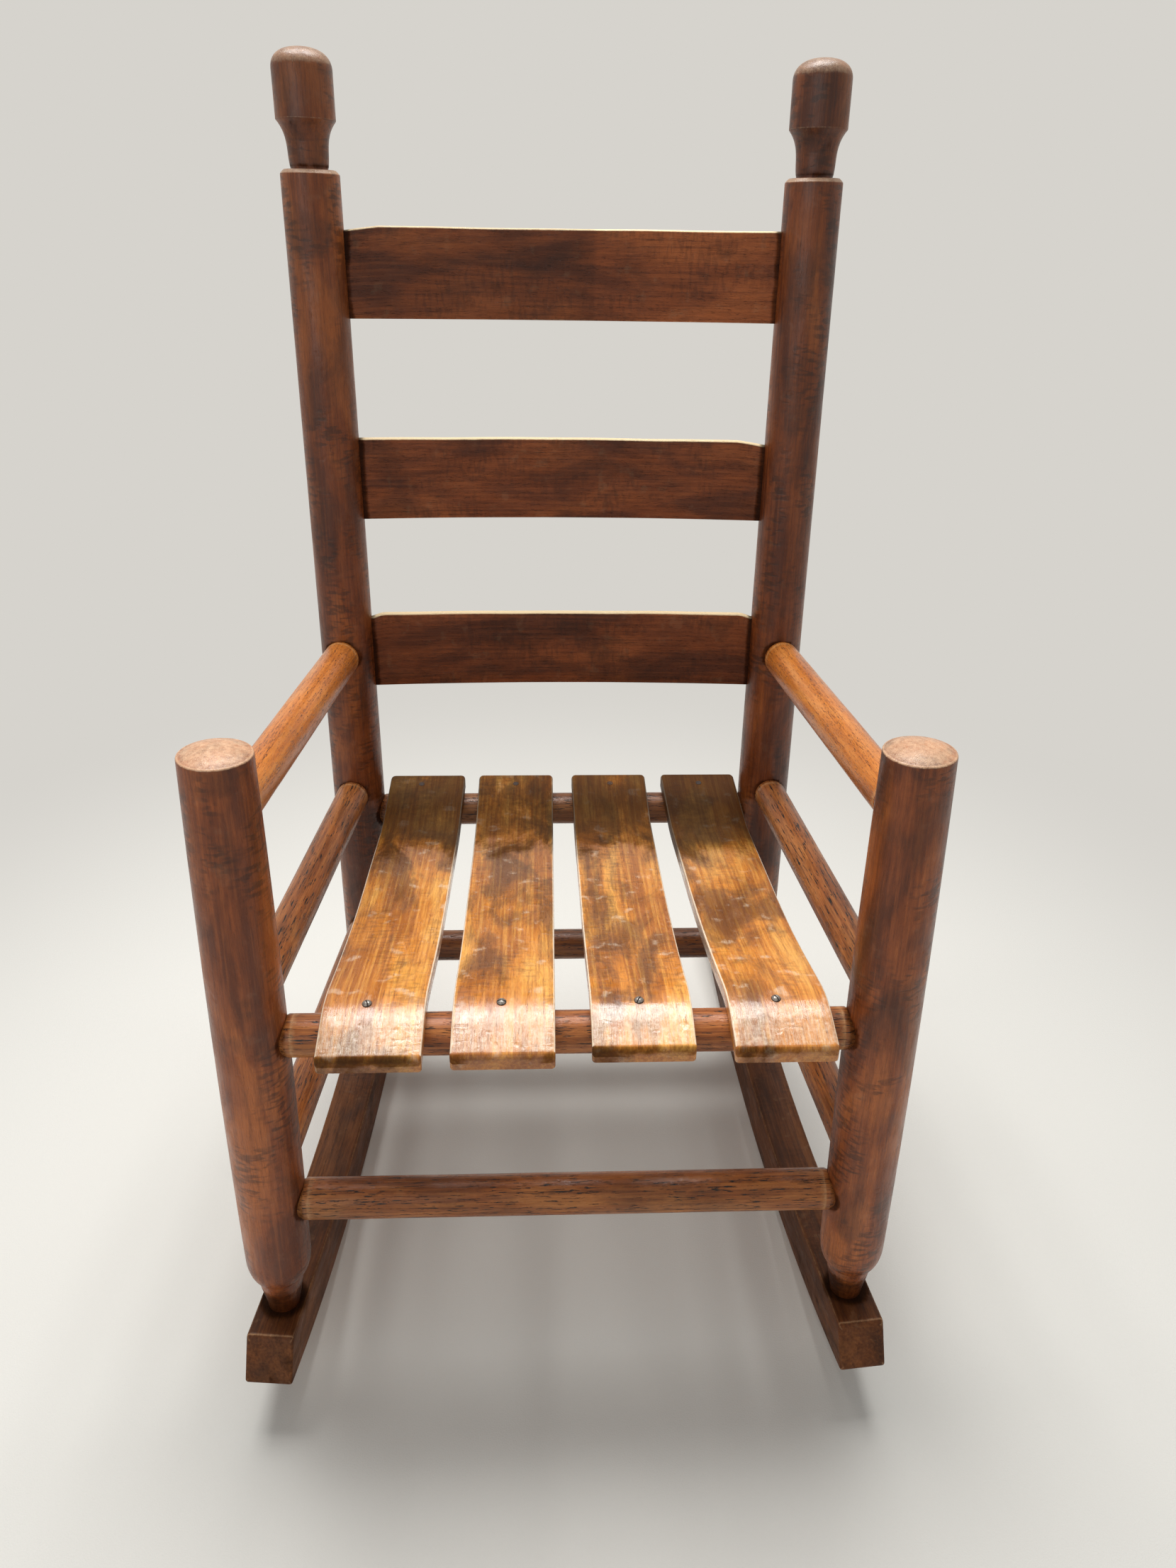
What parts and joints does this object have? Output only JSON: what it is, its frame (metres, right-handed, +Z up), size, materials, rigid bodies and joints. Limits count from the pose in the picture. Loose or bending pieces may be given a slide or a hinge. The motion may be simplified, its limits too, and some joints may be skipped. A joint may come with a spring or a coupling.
{
  "type": "rocking chair",
  "caption": "Small ladder-back rocking chair of turned wood: finial-topped back posts, round arms and rungs, bent back slats, a slatted dished seat, and curved rockers to rock on.",
  "frame": {"origin": "on the floor, under the middle of the bounding box", "axes": "+Z up, +Y from the chair's front to its back, +X to the right as seen from the front; the chair stands at rest, leaned back on its rockers"},
  "size_m": [0.4346, 0.4773, 0.7652],
  "materials": {
    "post_wood": "satin varnish, reddish brown turned hickory, darker towards the finials",
    "rung_wood": "satin varnish, open-pored brown hickory",
    "arm_wood": "worn gloss varnish, orange-brown hickory",
    "seat_slat_wood": "worn gloss varnish, honey-coloured hickory with dark stains",
    "back_slat_wood": "satin varnish, dark brown hickory",
    "rocker_wood": "worn satin varnish, brown hickory",
    "fastener_steel": "dulled steel"
  },
  "bodies": {
    "root": {"front_post_left": "post_wood", "back_post_left": "post_wood", "arm_left": "arm_wood", "side_seat_rung_left": "rung_wood", "side_lower_rung_left": "rung_wood", "rocker_left": "rocker_wood", "front_post_right": "post_wood", "back_post_right": "post_wood", "arm_right": "arm_wood", "side_seat_rung_right": "rung_wood", "side_lower_rung_right": "rung_wood", "rocker_right": "rocker_wood", "front_seat_rung": "rung_wood", "rear_seat_rung": "rung_wood", "front_lower_rung": "rung_wood", "rear_lower_rung": "rung_wood", "top_back_slat": "back_slat_wood", "middle_back_slat": "back_slat_wood", "bottom_back_slat": "back_slat_wood", "seat_slat_1": "seat_slat_wood", "seat_slat_2": "seat_slat_wood", "seat_slat_3": "seat_slat_wood", "seat_slat_4": "seat_slat_wood", "front_slat_screws": "fastener_steel", "rear_slat_nails": "fastener_steel"}
  },
  "joints": []
}
